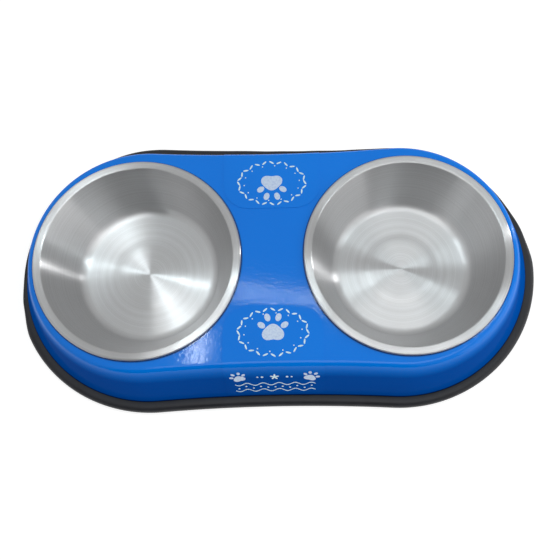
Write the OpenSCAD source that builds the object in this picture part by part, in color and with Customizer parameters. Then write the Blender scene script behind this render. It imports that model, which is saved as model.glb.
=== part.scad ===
// Double pet bowl: two spun steel bowls drop into a painted pressed-steel stand,
// which grips a rubber non-slip ring along its bottom edge.
// Millimetres. The origin is on the table under the middle of the stand,
// +X runs along the pair of bowls, +Y to the rear and +Z up.

/* [Bowls] */
// Diameter over a bowl's rolled rim
rim_d = 160; // [150:1:175]
// Distance between the two bowls' centres
bowl_pitch = 208; // [200:1:240]
// Depth of a bowl from its rim to its floor
bowl_depth = 42; // [30:0.5:42.5]
// Width of the flat band round the rim
rim_w = 6.2; // [5.5:0.1:9]
// Height of the flattened roll under the rim
rim_t = 2.4; // [2:0.1:3.5]
// Width of the flattened roll, which rests on the deck
roll_w = 3.2; // [2.6:0.1:3.6]
// Outer radius of the bend from the rim into the wall
rim_bend_r = 1.4; // [1:0.1:2]
// Thickness of the bowls' steel
bowl_t = 0.8; // [0.5:0.1:0.9]
// Radius of the flat floor
floor_r = 50; // [38:0.5:52]
// Radius of the fillet between floor and wall
floor_fillet = 9; // [4:0.5:12]
// Radius of the raised disc pressed into the floor
press_r = 25.5; // [15:0.5:28]
// Width of the slope round the raised disc
press_run = 7; // [3:0.5:9]
// Height of the raised disc
press_rise = 0.8; // [0.3:0.1:1.5]

/* [Stand] */
// Height of the flat deck above the table
deck_h = 45.6; // [45:0.2:60]
// Width of the deck outside the rims at the front and rear
deck_margin = 8; // [6:0.5:14]
// Width of the deck outside the rims at the two ends
end_margin = 4; // [4:0.5:8]
// How far the waist between the bowls is drawn in
waist_in = 3.2; // [2:0.2:8]
// How far the skirt flares out from deck to bottom edge
skirt_run = 20.5; // [14:0.5:26]
// Outer radius of the rounded shoulder round the deck
shoulder_r = 5; // [3:0.25:6]
// Thickness of the stand's steel
shell_t = 1; // [0.6:0.1:1.4]
// Clearance between a bowl and the edge of its hole
seat_gap = 0.8; // [0.4:0.1:1.2]
// Outer radius of the bend round each hole
hole_bend_r = 1.5; // [1.45:0.05:1.6]
// Depth of the collar turned down round each hole
collar_h = 5; // [3:0.5:8]

/* [Non-slip ring] */
// How far the rubber stands out past the skirt's bottom edge
ring_w = 6; // [4:0.25:10]
// Height of the rubber ring
ring_h = 7.5; // [6:0.25:12]
// Thickness of rubber under the skirt's bottom edge
ring_base = 2.5; // [1.5:0.25:3.5]
// Width of the lip of rubber inside the skirt
ring_lip = 4; // [2.5:0.25:6]
// Radius of the rounded outer edge
ring_round = 4.5; // [2:0.25:4.5]
// Bevel along the foot of the ring
ring_bevel = 0.8; // [0.3:0.1:1.2]
// Clearance between the groove and the skirt on each side
groove_gap = 0.1; // [0.05:0.05:0.3]

/* [Transfers] */
// Width of each printed film
film_w = 76; // [50:1:80]
// Distance from the middle of the stand to a film's inner end
film_inner = 39; // [36:1:50]
// Radius of the film's corners on the deck
film_corner = 20; // [10:1:24]
// Height above the rubber ring at which a film ends on the skirt
film_foot = 3; // [2:0.5:8]
// Thickness of the film
film_t = 0.15; // [0.1:0.05:0.3]
// Clearance between the film and the paint, which the adhesive fills
film_gap = 0.15; // [0.1:0.05:0.3]

/* [Hidden] */
$fn = 360;

blue = [0.0, 0.36, 0.72];
film_blue = [0.0, 0.42, 0.8];
charcoal = [0.1, 0.1, 0.12];
steel = [0.72, 0.72, 0.71];

// Overrun of every cut
over = 2;
// Overlap of pieces that are joined into one
lap = 2;
// How far the skirt's slope lies inside the shoulder's arc, so that the two cross
tuck = 0.002;

// Plan of the stand: an arc round each end, and a long hollow arc along each side
// that meets both of them smoothly and is drawn in to the waist
rim_r = rim_d / 2;
corner_r = rim_r + deck_margin;
end_x = bowl_pitch / 2 + rim_r + end_margin - corner_r;
waist_c = (end_x * end_x - waist_in * waist_in) / (2 * waist_in);
waist_r = waist_c - corner_r + waist_in;
hollow_a = 2 * atan2(end_x, waist_c);

// Side of the stand, measured outwards from the corner of deck and skirt
drop = deck_h - ring_base;
skirt_l = norm([skirt_run, drop]);
skirt_n = [drop / skirt_l, skirt_run / skirt_l];
shoulder_k = shoulder_r * tan(atan2(drop, skirt_run) / 2);
shoulder_c = [-shoulder_k, deck_h - shoulder_r];
flat_in = shoulder_k + shoulder_r + 3 * lap;

// Section of a bowl: its wall runs from the rim's inner corner to the fillet
rim_z = deck_h + rim_t;
floor_z = rim_z - bowl_depth;
rim_corner = [rim_r - rim_w, rim_z];
fillet_c = [floor_r, floor_z + floor_fillet];
fillet_run = rim_corner - fillet_c;
fillet_dist = norm(fillet_run);
wall_a = atan2(fillet_run.x, fillet_run.y) - asin(floor_fillet / fillet_dist);
wall_n = [cos(wall_a), -sin(wall_a)];
wall_d = [-sin(wall_a), -cos(wall_a)];
rim_bend_k = rim_bend_r * tan((90 - wall_a) / 2);
bowl_x = bowl_pitch / 2;

// The hole clears the bowl's wall at the height of the deck
neck_r = rim_corner.x + bowl_t / cos(wall_a) - rim_t * tan(wall_a);
hole_r = neck_r + seat_gap;

// Distance outwards of the skirt's outer face at a height
function skirt_u(z, out = 0) =
    (deck_h - z) * skirt_run / drop + out * skirt_l / drop;

// Area under the stand's side, out millimetres outside its outer face,
// from u_in outwards and from z_low up
module side_area(out, u_in, z_low) {
    polygon([
        [u_in, z_low],
        [skirt_u(z_low, out - tuck), z_low],
        shoulder_c + (shoulder_r + out - tuck) * skirt_n,
        shoulder_c,
        [shoulder_c.x, deck_h + out],
        [u_in, deck_h + out]
    ]);
    translate(shoulder_c) circle(shoulder_r + out);
}

// What lies between the planes in which the end arcs meet the hollow arcs. Both kinds
// of arc are cut by it, so that their cut faces are the same
module middle_block() {
    reach = (corner_r + skirt_run + ring_w + over) / waist_c;
    out = [end_x * (1 - reach), waist_c * reach];
    translate([0, 0, -over]) linear_extrude(deck_h + 2 * over) polygon([
        [end_x, 0], out, [-out.x, out.y], [-end_x, 0], -out, [out.x, -out.y]
    ]);
}

// Sweeps a section along the hollow arc at the rear
module waist_sweep() {
    intersection() {
        translate([0, waist_c])
            rotate_extrude(angle = 2 * hollow_a, start = -90 - hollow_a)
                translate([waist_r, 0]) mirror([1, 0]) children();
        middle_block();
    }
}

// Sweeps a section all round the stand
module plan_sweep() {
    for (side = [-1, 1]) difference() {
        translate([side * end_x, 0])
            rotate_extrude() translate([corner_r, 0]) children();
        middle_block();
    }
    for (front = [0, 1])
        mirror([0, front]) waist_sweep() children();
}

// Flat plate that lies on the inner edge of what is swept round the deck
module deck_plate() {
    plate_r = corner_r - flat_in + 2 * lap;
    translate([0, 0, deck_h - shell_t]) linear_extrude(shell_t) {
        for (side = [-1, 1]) translate([side * end_x, 0]) circle(plate_r);
        square([2 * end_x, 2 * (plate_r - lap)], center = true);
    }
}

// Puts a piece at each bowl's centre
module at_bowls() {
    for (side = [-1, 1])
        translate([side * bowl_x, 0]) children();
}

// Section of the bend and collar round a hole
module collar_section() {
    bend_c = [hole_r + hole_bend_r, deck_h - hole_bend_r];
    low = deck_h - collar_h;
    difference() {
        union() {
            translate(bend_c) circle(hole_bend_r);
            translate([hole_r, low])
                square([hole_bend_r + lap, collar_h - hole_bend_r]);
            translate(bend_c) square([lap, hole_bend_r]);
        }
        translate(bend_c) circle(hole_bend_r - shell_t);
        translate([hole_r + shell_t, low - over])
            square([hole_bend_r + lap + over, collar_h - hole_bend_r + over]);
        translate([bend_c.x, low])
            square([lap + over, collar_h - shell_t]);
    }
}

// One pressing: a flat deck with two collared holes, a rounded shoulder and a flared skirt
module stand_shell() {
    color(blue) {
        difference() {
            union() {
                deck_plate();
                plan_sweep() difference() {
                    side_area(0, -flat_in, ring_base);
                    side_area(-shell_t, -flat_in - over, ring_base - over);
                }
            }
            at_bowls() translate([0, 0, deck_h - shell_t - over])
                cylinder(r = hole_r + hole_bend_r, h = shell_t + 2 * over);
        }
        at_bowls() rotate_extrude() collar_section();
    }
}

// Section of the rubber ring, with the groove that the skirt's edge sits in
module ring_section() {
    u_out = skirt_run + ring_w;
    u_in = skirt_u(ring_h, -shell_t - groove_gap) - ring_lip;
    round_c = [u_out - ring_round, ring_h - ring_round];
    difference() {
        union() {
            polygon([
                [u_in, 0],
                [u_out - ring_bevel, 0],
                [u_out, ring_bevel],
                [u_out, round_c.y],
                round_c,
                [round_c.x, ring_h],
                [u_in, ring_h]
            ]);
            intersection() {
                translate(round_c) circle(ring_round);
                translate(round_c) square(ring_round + over);
            }
        }
        polygon([
            [skirt_u(ring_base, -shell_t - groove_gap), ring_base],
            [skirt_u(ring_base, groove_gap), ring_base],
            [skirt_u(ring_h + over, groove_gap), ring_h + over],
            [skirt_u(ring_h + over, -shell_t - groove_gap), ring_h + over]
        ]);
    }
}

// Moulded rubber that grips the bottom edge and is the foot all round
module non_slip_ring() {
    color(charcoal) plan_sweep() ring_section();
}

// Hollow of a bowl, with the rounded inner edge of its rim
module bowl_hollow() {
    bend_c = [rim_corner.x + rim_bend_k, rim_z - rim_bend_r];
    difference() {
        union() {
            polygon([
                [0, rim_z + over],
                [bend_c.x, rim_z + over],
                bend_c,
                rim_corner + rim_bend_k * wall_d,
                fillet_c + floor_fillet * wall_n,
                fillet_c,
                [floor_r, floor_z],
                [press_r + press_run, floor_z],
                [press_r, floor_z + press_rise],
                [0, floor_z + press_rise]
            ]);
            translate(fillet_c) circle(floor_fillet);
        }
        translate(bend_c) circle(rim_bend_r);
    }
}

// Outer form of a bowl, with the flattened roll under its rim
module bowl_form() {
    roll_c = [rim_r - rim_t / 2, rim_z - rim_t / 2];
    wall_top = rim_corner.x + bowl_t * (1 - sin(wall_a)) / cos(wall_a);
    under = floor_z - bowl_t;
    polygon([
        [0, under + press_rise],
        [press_r, under + press_rise],
        [press_r + press_run, under],
        [floor_r, under],
        fillet_c,
        fillet_c + (floor_fillet + bowl_t) * wall_n,
        [wall_top, rim_z - bowl_t],
        [rim_r - roll_w, rim_z - bowl_t],
        [rim_r - roll_w, rim_z - rim_t],
        [roll_c.x, rim_z - rim_t],
        [roll_c.x, rim_z],
        [0, rim_z]
    ]);
    translate(fillet_c) circle(floor_fillet + bowl_t);
    translate(roll_c) circle(rim_t / 2);
}

// One spun steel bowl on its own axis
module bowl() {
    color(steel) rotate_extrude() difference() {
        bowl_form();
        bowl_hollow();
    }
}

module left_bowl() {
    translate([-bowl_x, 0]) bowl();
}

module right_bowl() {
    translate([bowl_x, 0]) bowl();
}

// Plan of a film: straight sides, and rounded corners at its inner end
module film_plan() {
    half = film_w / 2;
    translate([-half, film_inner + film_corner])
        square([film_w, corner_r + skirt_run - film_inner]);
    translate([film_corner - half, film_inner])
        square([film_w - 2 * film_corner, film_corner + over]);
    for (side = [-1, 1])
        translate([side * (half - film_corner), film_inner + film_corner])
            circle(film_corner);
}

// Thin printed film that lies on the deck at the rear and wraps onto the skirt
module film() {
    foot_z = ring_h + film_foot;
    u_in = film_inner - corner_r - over;
    color(film_blue) intersection() {
        waist_sweep() difference() {
            side_area(film_gap + film_t, u_in, foot_z);
            side_area(film_gap, u_in - over, foot_z - over);
        }
        linear_extrude(deck_h + over) film_plan();
    }
}

module front_transfer() {
    mirror([0, 1]) film();
}

module rear_transfer() {
    film();
}

stand_shell();
non_slip_ring();
left_bowl();
right_bowl();
front_transfer();
rear_transfer();
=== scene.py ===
"""Double pet bowl: two spun steel bowls in a gloss-painted stand with a rubber foot ring.

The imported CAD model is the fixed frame. Every piece here is modelled in metres in that
frame, rides on one of its bodies and replaces the plain node that it stands for.
"""
import logging
import math
from collections.abc import Callable, Sequence
from dataclasses import dataclass, field
from enum import Enum

import bmesh
import bpy
from mathutils import Euler, Matrix, Vector


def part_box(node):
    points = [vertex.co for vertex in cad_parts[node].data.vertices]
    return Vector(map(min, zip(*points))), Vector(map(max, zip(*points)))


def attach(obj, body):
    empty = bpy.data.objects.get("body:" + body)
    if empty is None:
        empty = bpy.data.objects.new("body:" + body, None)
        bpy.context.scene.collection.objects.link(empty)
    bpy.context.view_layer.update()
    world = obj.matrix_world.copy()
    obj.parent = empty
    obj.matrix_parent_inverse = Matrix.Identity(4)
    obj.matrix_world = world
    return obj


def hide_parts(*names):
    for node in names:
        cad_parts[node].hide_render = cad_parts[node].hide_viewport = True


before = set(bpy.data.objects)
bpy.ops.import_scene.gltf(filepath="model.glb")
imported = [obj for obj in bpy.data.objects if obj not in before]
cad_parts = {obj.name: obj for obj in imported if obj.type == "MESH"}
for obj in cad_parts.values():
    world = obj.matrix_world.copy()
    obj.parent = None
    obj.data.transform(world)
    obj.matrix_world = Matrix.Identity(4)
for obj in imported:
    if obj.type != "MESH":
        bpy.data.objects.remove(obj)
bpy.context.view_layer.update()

MM = 0.001
FULL_TURN = 2 * math.pi
UP = Vector((0.0, 0.0, 1.0))
MERGE_DISTANCE = 0.002 * MM
WHITE = (1.0, 1.0, 1.0)

Point = tuple[float, float]
Triple = tuple[float, float, float]
Surface = Callable[[float, float, float], Vector]
Socket = bpy.types.NodeSocket

log = logging.getLogger("pet_bowl")


class Side(Enum):
    """The two bowls and the two sides of the stand, with the sign of their place."""

    LEFT = -1
    RIGHT = 1
    FRONT = -2
    REAR = 2

    @property
    def sign(self) -> int:
        """Gives 1 on the frame's positive side and -1 on the other."""
        return 1 if self.value > 0 else -1

    @property
    def word(self) -> str:
        """Gives the side's name as the pieces spell it."""
        return self.name.lower()


def arc(centre: Point, radius: float, start: float, end: float, steps: int) -> list[Point]:
    """Places points along an arc.

    Args:
        centre: Centre of the arc.
        radius: Its radius in metres.
        start: Angle of the first point in degrees.
        end: Angle of the last point in degrees.
        steps: Number of chords.

    Returns:
        The points, both ends included.
    """
    turns = [math.radians(start + (end - start) * i / steps) for i in range(steps + 1)]
    return [(centre[0] + radius * math.cos(t), centre[1] + radius * math.sin(t)) for t in turns]


def line(start: Point, end: Point, steps: int) -> list[Point]:
    """Places points along a straight line, without its two ends.

    Args:
        start: First end of the line.
        end: Other end of the line.
        steps: Number of stretches that the line is cut into.

    Returns:
        The points between the ends.
    """
    shares = [i / steps for i in range(1, steps)]
    return [(start[0] + (end[0] - start[0]) * s, start[1] + (end[1] - start[1]) * s) for s in shares]


def add_wire(bm: bmesh.types.BMesh, places: Sequence[Vector], closed: bool) -> list:
    """Adds a row of vertices that edges join.

    Args:
        bm: Mesh that takes the row.
        places: Where the vertices lie, in order.
        closed: Whether an edge joins the last vertex to the first.

    Returns:
        The new vertices and edges, as spin takes them.
    """
    verts = [bm.verts.new(p) for p in places]
    pairs = list(zip(verts, verts[1:]))
    if closed:
        pairs.append((verts[-1], verts[0]))
    edges = [bm.edges.new(pair) for pair in pairs]
    return verts + edges


def spin(bm: bmesh.types.BMesh, geom: list, centre: Point, angle: float, steps: int) -> list:
    """Sweeps a row of edges about an upright axis.

    Args:
        bm: Mesh that holds the row.
        geom: The row's vertices and edges.
        centre: Place of the axis in plan.
        angle: Angle of the sweep in radians, anticlockwise from above.
        steps: Number of steps.

    Returns:
        The row's last copy, from which a further sweep can go on.
    """
    made = bmesh.ops.spin(
        bm, geom=geom, cent=(centre[0], centre[1], 0.0), axis=UP, angle=angle, steps=steps,
        use_merge=False, use_normal_flip=False, use_duplicate=False,
    )
    return made["geom_last"]


def as_object(
    bm: bmesh.types.BMesh, name: str, material: bpy.types.Material, crease: float = 40.0,
) -> bpy.types.Object:
    """Closes a mesh, turns its faces outwards and puts it in the scene.

    Args:
        bm: The finished mesh, which is freed.
        name: Name of the new object.
        material: Its material.
        crease: Angle in degrees past which an edge is drawn sharp.

    Returns:
        The new object, at the origin.
    """
    bmesh.ops.remove_doubles(bm, verts=bm.verts, dist=MERGE_DISTANCE)
    bmesh.ops.dissolve_degenerate(bm, dist=MERGE_DISTANCE / 2, edges=bm.edges)
    bmesh.ops.recalc_face_normals(bm, faces=bm.faces)
    mesh = bpy.data.meshes.new(name)
    bm.to_mesh(mesh)
    bm.free()
    mesh.materials.append(material)
    mesh.shade_smooth()
    mesh.set_sharp_from_angle(angle=math.radians(crease))
    obj = bpy.data.objects.new(name, mesh)
    bpy.context.scene.collection.objects.link(obj)
    return obj


def seat(obj: bpy.types.Object, body: str, nodes: Sequence[str] = ()) -> bpy.types.Object:
    """Puts a piece on its body and hides the CAD nodes that it replaces.

    Args:
        obj: The piece.
        body: Body that it moves with.
        nodes: CAD nodes that it replaces.

    Returns:
        The same piece.
    """
    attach(obj, body)
    if nodes:
        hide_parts(*nodes)
    log.info("%s: %d faces on %s", obj.name, len(obj.data.polygons), body)
    return obj


def place_object(obj: bpy.types.Object, place: Triple, turn: Triple) -> None:
    """Puts a light or the camera in the scene, with its turn in degrees.

    Args:
        obj: The light or camera.
        place: Where it goes.
        turn: Its turn about X, Y and Z in degrees.
    """
    obj.location = place
    obj.rotation_euler = Euler([math.radians(a) for a in turn], "XYZ")
    bpy.context.scene.collection.objects.link(obj)


class Nodes:
    """A short way to lay out the nodes of one material or node group."""

    def __init__(self, tree: bpy.types.NodeTree) -> None:
        """Keeps the tree."""
        self.tree = tree

    def add(self, kind: str, **settings: object) -> bpy.types.Node:
        """Adds a node.

        Args:
            kind: Blender's name of the node's type, without the leading ShaderNode.
            **settings: Properties of the node, and values of its inputs by their names,
                with an underscore for each space.

        Returns:
            The new node.
        """
        node = self.tree.nodes.new("ShaderNode" + kind)
        for key, value in settings.items():
            if hasattr(node, key):
                setattr(node, key, value)
            else:
                node.inputs[key.replace("_", " ")].default_value = value
        return node

    def join(self, source: Socket, target: Socket) -> None:
        """Links an output to an input."""
        self.tree.links.new(source, target)

    def feed(self, value: object, target: Socket) -> None:
        """Links an output to an input, or writes a number or a colour into the input.

        Args:
            value: A socket, a number or a colour.
            target: The input.
        """
        if isinstance(value, Socket):
            self.join(value, target)
        elif target.type == "RGBA":
            target.default_value = (*value, 1.0)
        else:
            target.default_value = value

    def math(self, operation: str, first: object, second: object = 0.0) -> Socket:
        """Adds a Math node.

        Args:
            operation: Its operation.
            first: A socket, or a number.
            second: A socket, or a number.

        Returns:
            The node's output.
        """
        node = self.add("Math", operation=operation)
        self.feed(first, node.inputs[0])
        self.feed(second, node.inputs[1])
        return node.outputs[0]

    def place(self) -> Socket:
        """Gives the place on the piece, in the frame."""
        return self.add("TexCoord").outputs["Object"]

    def parts(self, vector: Socket) -> bpy.types.NodeOutputs:
        """Takes a vector apart into its X, Y and Z.

        Args:
            vector: The vector.

        Returns:
            Its three parts, by their names.
        """
        node = self.add("SeparateXYZ")
        self.join(vector, node.inputs["Vector"])
        return node.outputs

    def flat(self, x: Socket, y: Socket) -> Socket:
        """Joins two numbers into a vector that lies in plan.

        Args:
            x: Its first part.
            y: Its second part.

        Returns:
            The vector.
        """
        node = self.add("CombineXYZ")
        self.join(x, node.inputs["X"])
        self.join(y, node.inputs["Y"])
        return node.outputs["Vector"]

    def length(self, vector: Socket) -> Socket:
        """Gives a vector's length.

        Args:
            vector: The vector.

        Returns:
            Its length.
        """
        node = self.add("VectorMath", operation="LENGTH")
        self.join(vector, node.inputs[0])
        return node.outputs["Value"]

    def noise(self, vector: Socket, scale: float, detail: float = 2.0) -> Socket:
        """Adds a noise texture and gives its even value.

        Args:
            vector: Place that it is read at.
            scale: Its scale, per metre.
            detail: Number of finer layers.

        Returns:
            Its value, about 0 to 1.
        """
        node = self.add("TexNoise", Scale=scale, Detail=detail)
        self.join(vector, node.inputs["Vector"])
        return node.outputs["Fac"]

    def ramp(self, factor: Socket, low: Triple, high: Triple, stops: Point = (0.0, 1.0)) -> Socket:
        """Adds a colour ramp between two colours.

        Args:
            factor: What drives it.
            low: Colour at the first stop, red, green and blue.
            high: Colour at the second stop.
            stops: Places of the two stops.

        Returns:
            The ramp's colour.
        """
        node = self.add("ValToRGB")
        for element, colour, stop in zip(node.color_ramp.elements, (low, high), stops):
            element.position = stop
            element.color = (*colour, 1.0)
        self.join(factor, node.inputs["Fac"])
        return node.outputs["Color"]

    def blend(self, share: object, first: object, second: object, kind: str = "MIX") -> Socket:
        """Blends two colours.

        Args:
            share: How much the second colour acts, a socket or a number.
            first: A socket, or a colour.
            second: A socket, or a colour.
            kind: How the second colour acts on the first.

        Returns:
            The blended colour.
        """
        node = self.add("Mix", data_type="RGBA", blend_type=kind)
        self.feed(share, node.inputs["Factor"])
        under, over = [s for s in node.inputs if s.type == "RGBA"]
        self.feed(first, under)
        self.feed(second, over)
        return next(s for s in node.outputs if s.type == "RGBA")

    def spread(self, value: Socket, old: Point = (0.0, 1.0), new: Point = (0.0, 1.0)) -> Socket:
        """Carries a value from one range over to another, and holds it inside that.

        Args:
            value: The value.
            old: Range that it comes from.
            new: Range that it goes to.

        Returns:
            The new value.
        """
        node = self.add("MapRange", From_Min=old[0], From_Max=old[1], To_Min=new[0], To_Max=new[1])
        self.join(value, node.inputs["Value"])
        return node.outputs["Result"]

    def below(self, value: Socket, edge: Point) -> Socket:
        """Gives 1 where a value is below a range, 0 where it is above, and a slope between."""
        return self.math("SUBTRACT", 1.0, self.spread(value, edge))

    def bump(self, height: Socket, distance: float, strength: float) -> Socket:
        """Adds a Bump node and gives its normal.

        Args:
            height: What raises the surface.
            distance: Height of a full step.
            strength: Share of the effect.

        Returns:
            The normal.
        """
        node = self.add("Bump", Distance=distance, Strength=strength)
        self.join(height, node.inputs["Height"])
        return node.outputs["Normal"]


def new_group(name: str, inputs: dict[str, float], outputs: Sequence[str]) -> Nodes:
    """Starts a shader node group with named sockets.

    Args:
        name: The group's name.
        inputs: Default of each number that goes in, by its name.
        outputs: Names of the numbers that come out.

    Returns:
        The group's nodes, with its input and output nodes in place.
    """
    tree = bpy.data.node_groups.new(name, "ShaderNodeTree")
    for key, value in inputs.items():
        socket = tree.interface.new_socket(key, in_out="INPUT", socket_type="NodeSocketFloat")
        socket.default_value = value
    for key in outputs:
        tree.interface.new_socket(key, in_out="OUTPUT", socket_type="NodeSocketFloat")
    tree.nodes.new("NodeGroupInput")
    tree.nodes.new("NodeGroupOutput")
    return Nodes(tree)


def new_material(name: str, **values: float) -> tuple[bpy.types.Material, Nodes, bpy.types.Node]:
    """Starts a material.

    Args:
        name: The material's name.
        **values: Values of its shader's inputs by their names, with an underscore for
            each space.

    Returns:
        The material, its nodes and its Principled shader.
    """
    material = bpy.data.materials.new(name)
    material.use_nodes = True
    shader = material.node_tree.nodes["Principled BSDF"]
    for key, value in values.items():
        shader.inputs[key.replace("_", " ")].default_value = value
    return material, Nodes(material.node_tree), shader


@dataclass(frozen=True)
class OrangePeel:
    """The group for sprayed gloss: faint dimples, long waves and the masks of painted shade."""

    name: str = "orange_peel"
    dimple_scale: float = 420.0
    dimple_detail: float = 1.5
    dimple_roughness: float = 0.45
    wave_scale: float = 90.0
    wave_share: float = 0.25
    drift_scale: float = 9.0
    bowl_x: float = 104 * MM
    # Heights over which the paint is darkened as painted shade down the skirt.
    flank_shade: Point = (25 * MM, 45 * MM)
    # Radii and heights of the painted contact shade, round the bowl rims and above the foot ring.
    past_rim: Point = (80.2 * MM, 81.4 * MM)
    under_rim: Point = (79.2 * MM, 80.0 * MM)
    by_foot: Point = (7.6 * MM, 8.8 * MM)

    def build(self) -> None:
        """Builds the group."""
        inputs = {"Dimple Scale": self.dimple_scale, "Wave Share": self.wave_share, "Bowl X": self.bowl_x}
        nodes = new_group(self.name, inputs, ["Height", "Drift", "Lift", "Seam"])
        enter = nodes.tree.nodes["Group Input"].outputs
        leave = nodes.tree.nodes["Group Output"].inputs
        place = nodes.place()
        dimples = nodes.add("TexNoise", Detail=self.dimple_detail, Roughness=self.dimple_roughness)
        nodes.join(place, dimples.inputs["Vector"])
        nodes.join(enter["Dimple Scale"], dimples.inputs["Scale"])
        waves = nodes.math("MULTIPLY", nodes.noise(place, self.wave_scale, 1.0), enter["Wave Share"])
        nodes.join(nodes.math("ADD", dimples.outputs["Fac"], waves), leave["Height"])
        nodes.join(nodes.noise(place, self.drift_scale, 3.0), leave["Drift"])
        parts = nodes.parts(place)
        # Lift: height share that drives the painted shade down the skirt and the thinning of the coat.
        nodes.join(nodes.spread(parts["Z"], self.flank_shade), leave["Lift"])
        beside = nodes.math("SUBTRACT", nodes.math("ABSOLUTE", parts["X"]), enter["Bowl X"])
        reach = nodes.length(nodes.flat(beside, parts["Y"]))
        # Painted contact shade: a thin dark ring on the paint just outside each bowl's rim, and a dark
        # band just above the foot ring.
        clear = nodes.math("ADD", nodes.spread(reach, self.past_rim), nodes.below(reach, self.under_rim))
        seam = nodes.math("MULTIPLY", clear, nodes.spread(parts["Z"], self.by_foot))
        nodes.join(seam, leave["Seam"])


@dataclass(frozen=True)
class LatheLines:
    """The group for spun metal: rings about an upright axis."""

    name: str = "lathe_lines"
    fine_scale: float = 2600.0
    broad_scale: float = 310.0
    wall_stretch: float = 1.7

    def build(self) -> None:
        """Builds the group."""
        inputs = {"Centre X": 0.0, "Fine Scale": self.fine_scale}
        nodes = new_group(self.name, inputs, ["Fine", "Broad"])
        enter = nodes.tree.nodes["Group Input"].outputs
        leave = nodes.tree.nodes["Group Output"].inputs
        parts = nodes.parts(nodes.place())
        beside = nodes.math("SUBTRACT", parts["X"], enter["Centre X"])
        radius = nodes.length(nodes.flat(beside, parts["Y"]))
        along = nodes.math("ADD", radius, nodes.math("MULTIPLY", parts["Z"], self.wall_stretch))
        fine = nodes.add("TexNoise", noise_dimensions="1D", Detail=2.0)
        broad = nodes.add("TexNoise", noise_dimensions="1D", Detail=3.0, Scale=self.broad_scale)
        nodes.join(enter["Fine Scale"], fine.inputs["Scale"])
        for rings, word in ((fine, "Fine"), (broad, "Broad")):
            nodes.join(along, rings.inputs["W"])
            nodes.join(rings.outputs["Fac"], leave[word])


@dataclass(frozen=True)
class GlossPaint:
    """Blue paint under a clear gloss with sprayed orange peel, darkened in places as painted shade."""

    name: str = "blue_gloss_paint"
    deep: Triple = (0.0, 0.185, 0.76)
    light: Triple = (0.0, 0.205, 0.82)
    # Colour multiplied in as painted shade low on the skirt.
    flank_shade: Triple = (0.3, 0.36, 0.46)
    # Dark colour multiplied in as painted contact shade by the rims and above the foot ring.
    seam: Triple = (0.05, 0.06, 0.1)
    drift: Point = (0.35, 0.65)
    flank_shade_from: float = 0.3
    roughness: float = 0.28
    roughness_swing: float = 0.03
    coat: Point = (0.03, 0.62)
    coat_fall: float = 5.0
    coat_roughness: float = 0.09
    dimple_scale: float = 420.0
    peel_height: float = 0.075 * MM
    peel_strength: float = 0.7

    def build(self) -> bpy.types.Material:
        """Makes the material, with painted shade down the skirt, by the rims and by the foot; its coat
        thins low down.

        Returns:
            The material.
        """
        material, nodes, shader = new_material(
            self.name, Specular_IOR_Level=0.0, Coat_Roughness=self.coat_roughness
        )
        group = bpy.data.node_groups["orange_peel"]
        peel = nodes.add("Group", node_tree=group, Dimple_Scale=self.dimple_scale).outputs
        colour = nodes.ramp(peel["Drift"], self.deep, self.light, self.drift)
        flank_shade = nodes.ramp(peel["Lift"], self.flank_shade, WHITE, (self.flank_shade_from, 1.0))
        # The paint is darkened as painted shade down the skirt, and as painted contact shade by the rims
        # and the foot ring.
        for shade in (flank_shade, nodes.ramp(peel["Seam"], self.seam, WHITE)):
            colour = nodes.blend(1.0, colour, shade, "MULTIPLY")
        nodes.join(colour, shader.inputs["Base Color"])
        rough = (self.roughness - self.roughness_swing, self.roughness + self.roughness_swing)
        nodes.join(nodes.spread(peel["Drift"], new=rough), shader.inputs["Roughness"])
        normal = nodes.bump(peel["Height"], self.peel_height, self.peel_strength)
        nodes.join(normal, shader.inputs["Normal"])
        nodes.join(normal, shader.inputs["Coat Normal"])
        coat = nodes.math("POWER", peel["Lift"], self.coat_fall)
        nodes.join(nodes.spread(coat, new=self.coat), shader.inputs["Coat Weight"])
        return material


@dataclass(frozen=True)
class ClearFilm(GlossPaint):
    """Glossy transfer film, seen as the paint below it with a smoother skin."""

    name: str = "clear_film"
    deep: Triple = (0.0, 0.188, 0.765)
    light: Triple = (0.0, 0.208, 0.825)
    roughness: float = 0.25
    coat_roughness: float = 0.04
    dimple_scale: float = 330.0
    peel_height: float = 0.018 * MM
    peel_strength: float = 0.3


@dataclass(frozen=True)
class SpunSteel:
    """Stainless steel with lathe lines round a bowl's axis."""

    name: str = "spun_steel"
    dark: Triple = (0.54, 0.54, 0.54)
    bright: Triple = (0.67, 0.675, 0.685)
    tone: Point = (0.3, 0.62)
    fine_share: float = 0.7
    broad_share: float = 0.3
    rough: Point = (0.27, 0.35)
    anisotropy: float = 1.0
    grain_turn: float = 0.25
    line_height: float = 0.002 * MM
    line_strength: float = 0.5

    def build(self, centre_x: float) -> bpy.types.Material:
        """Makes the material of the bowl whose axis stands at centre_x.

        Args:
            centre_x: Place of the axis along the stand.

        Returns:
            The material.
        """
        name = self.name + ("_left" if centre_x < 0 else "_right")
        material, nodes, shader = new_material(
            name, Metallic=1.0, Anisotropic=self.anisotropy, Anisotropic_Rotation=self.grain_turn
        )
        group = bpy.data.node_groups["lathe_lines"]
        rings = nodes.add("Group", node_tree=group, Centre_X=centre_x).outputs
        fine = nodes.math("MULTIPLY", rings["Fine"], self.fine_share)
        lines = nodes.math("ADD", fine, nodes.math("MULTIPLY", rings["Broad"], self.broad_share))
        nodes.join(nodes.ramp(lines, self.dark, self.bright, self.tone), shader.inputs["Base Color"])
        nodes.join(nodes.spread(lines, new=self.rough), shader.inputs["Roughness"])
        normal = nodes.bump(lines, self.line_height, self.line_strength)
        nodes.join(normal, shader.inputs["Normal"])
        tangent = nodes.add("Tangent", direction_type="UV_MAP", uv_map="around")
        nodes.join(tangent.outputs["Tangent"], shader.inputs["Tangent"])
        return material


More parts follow.
